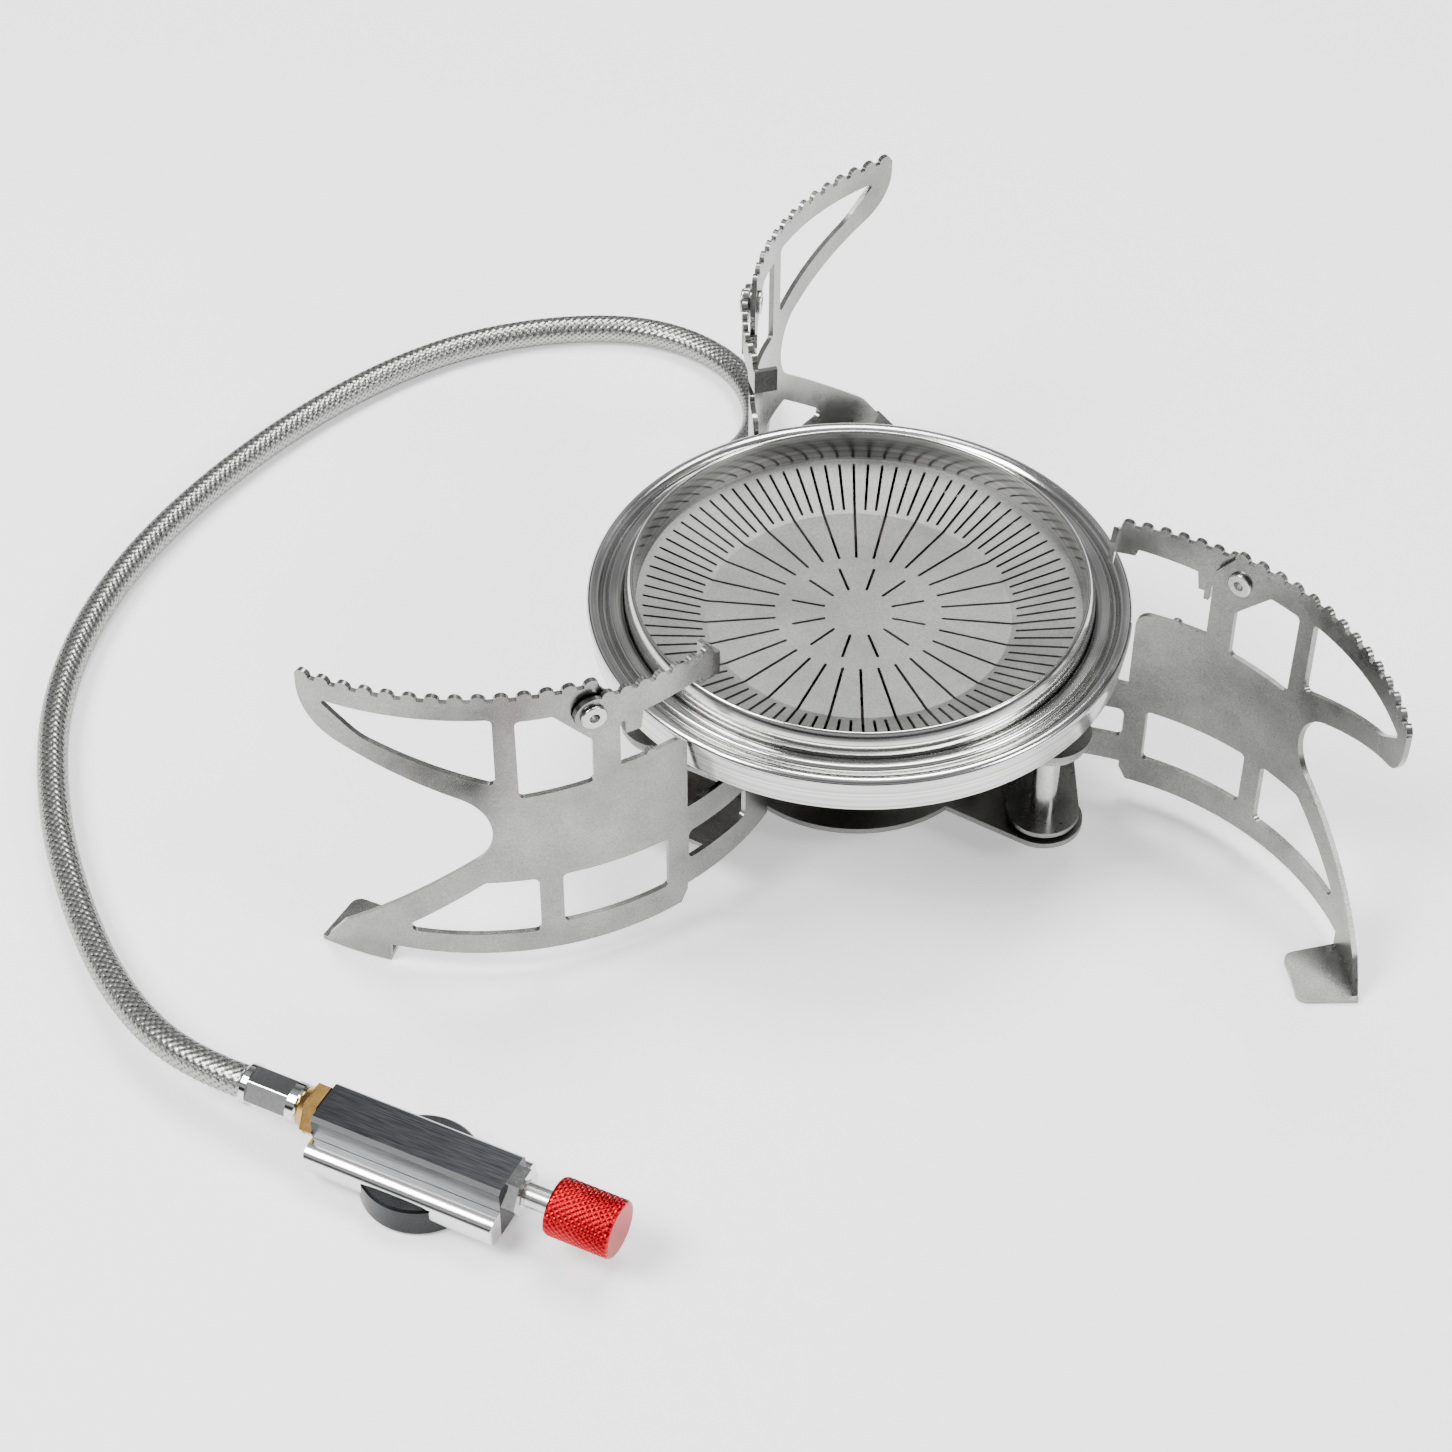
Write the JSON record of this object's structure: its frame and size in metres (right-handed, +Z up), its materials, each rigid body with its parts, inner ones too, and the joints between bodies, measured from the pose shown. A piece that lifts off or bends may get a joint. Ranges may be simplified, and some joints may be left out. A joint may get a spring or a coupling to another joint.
{
  "type": "canister stove",
  "caption": "Remote-canister camping stove: round slotted burner in a wind pan on three folding toothed legs, joined by a braided hose to a low screw-on valve with a red knob",
  "frame": {"origin": "on the ground, under the middle of the burner", "axes": "+Z up along the burner axis; the valve unit stands towards -X and -Y, and the hose runs round by -X and +Y"},
  "size_m": [0.2459, 0.2603, 0.067],
  "materials": {
    "leg_steel": "bead-blasted stainless sheet",
    "burner_steel": "spun and polished stainless",
    "heat_stained_steel": "heat-darkened stainless",
    "bracket_steel": "stamped stainless",
    "polished_steel": "turned stainless",
    "red_anodised": "red anodised, knurled",
    "dark_anodised": "dark grey anodised with machined edges",
    "brass": "machined brass",
    "chrome": "chromed",
    "braided_steel": "braided stainless wire",
    "rubber": "nitrile"
  },
  "bodies": {
    "root": {"bracket_screws": "polished_steel", "burner_cup": "heat_stained_steel", "burner_ferrule": "chrome", "burner_plate": "burner_steel", "canister_collar": "dark_anodised", "collar_seal": "rubber", "depressor_pin": "polished_steel", "diffuser": "heat_stained_steel", "gland_nut": "chrome", "head_ring": "burner_steel", "hinge_pin_back": "polished_steel", "hinge_pin_left": "polished_steel", "hinge_pin_right": "polished_steel", "hinge_spacer_back": "polished_steel", "hinge_spacer_left": "polished_steel", "hinge_spacer_right": "polished_steel", "hinge_washers": "polished_steel", "hose": "braided_steel", "inlet_nut": "brass", "jet_holder": "brass", "jet_nozzle": "brass", "lower_bracket": "bracket_steel", "mixing_tube": "heat_stained_steel", "stem_seal": "rubber", "upper_bracket": "bracket_steel", "valve_body": "dark_anodised", "valve_ferrule": "chrome", "wind_pan": "burner_steel"},
    "leg_right": {"leg_right": "leg_steel", "rivet_right": "polished_steel", "finger_washer_right": "polished_steel"},
    "finger_right": {"finger_right": "leg_steel"},
    "leg_back": {"leg_back": "leg_steel", "rivet_back": "polished_steel", "finger_washer_back": "polished_steel"},
    "finger_back": {"finger_back": "leg_steel"},
    "leg_left": {"leg_left": "leg_steel", "rivet_left": "polished_steel", "finger_washer_left": "polished_steel"},
    "finger_left": {"finger_left": "leg_steel"},
    "knob": {"knob": "red_anodised", "spindle": "polished_steel", "knob_screw": "polished_steel"}
  },
  "joints": [
    {"name": "leg_right_fold", "type": "hinge", "parent": "root", "child": "leg_right", "pos_m": [0.03455, -0.02151, 0.017], "axis": [0, 0, 1], "range_deg": [-115.8, 0]},
    {"name": "finger_right_swing", "type": "hinge", "parent": "leg_right", "child": "finger_right", "pos_m": [0.06632, -0.01631, 0.0605], "axis": [0.6198, 0.7848, 0], "range_deg": [0, 130]},
    {"name": "leg_back_fold", "type": "hinge", "parent": "root", "child": "leg_back", "pos_m": [0.00135, 0.04068, 0.017], "axis": [0, 0, 1], "range_deg": [-115.8, 0]},
    {"name": "finger_back_swing", "type": "hinge", "parent": "leg_back", "child": "finger_back", "pos_m": [-0.01904, 0.06559, 0.0605], "axis": [-0.9895, 0.1444, 0], "range_deg": [0, 130]},
    {"name": "leg_left_fold", "type": "hinge", "parent": "root", "child": "leg_left", "pos_m": [-0.0359, -0.01917, 0.017], "axis": [0, 0, 1], "range_deg": [-115.8, 0]},
    {"name": "finger_left_swing", "type": "hinge", "parent": "leg_left", "child": "finger_left", "pos_m": [-0.04728, -0.04928, 0.0605], "axis": [0.3697, -0.9291, 0], "range_deg": [0, 130]},
    {"name": "knob_turn", "type": "hinge", "parent": "root", "child": "knob", "pos_m": [-0.04827, -0.11611, 0.0093], "axis": [0.9011, -0.4337, 0], "range_deg": [0, 900]}
  ]
}
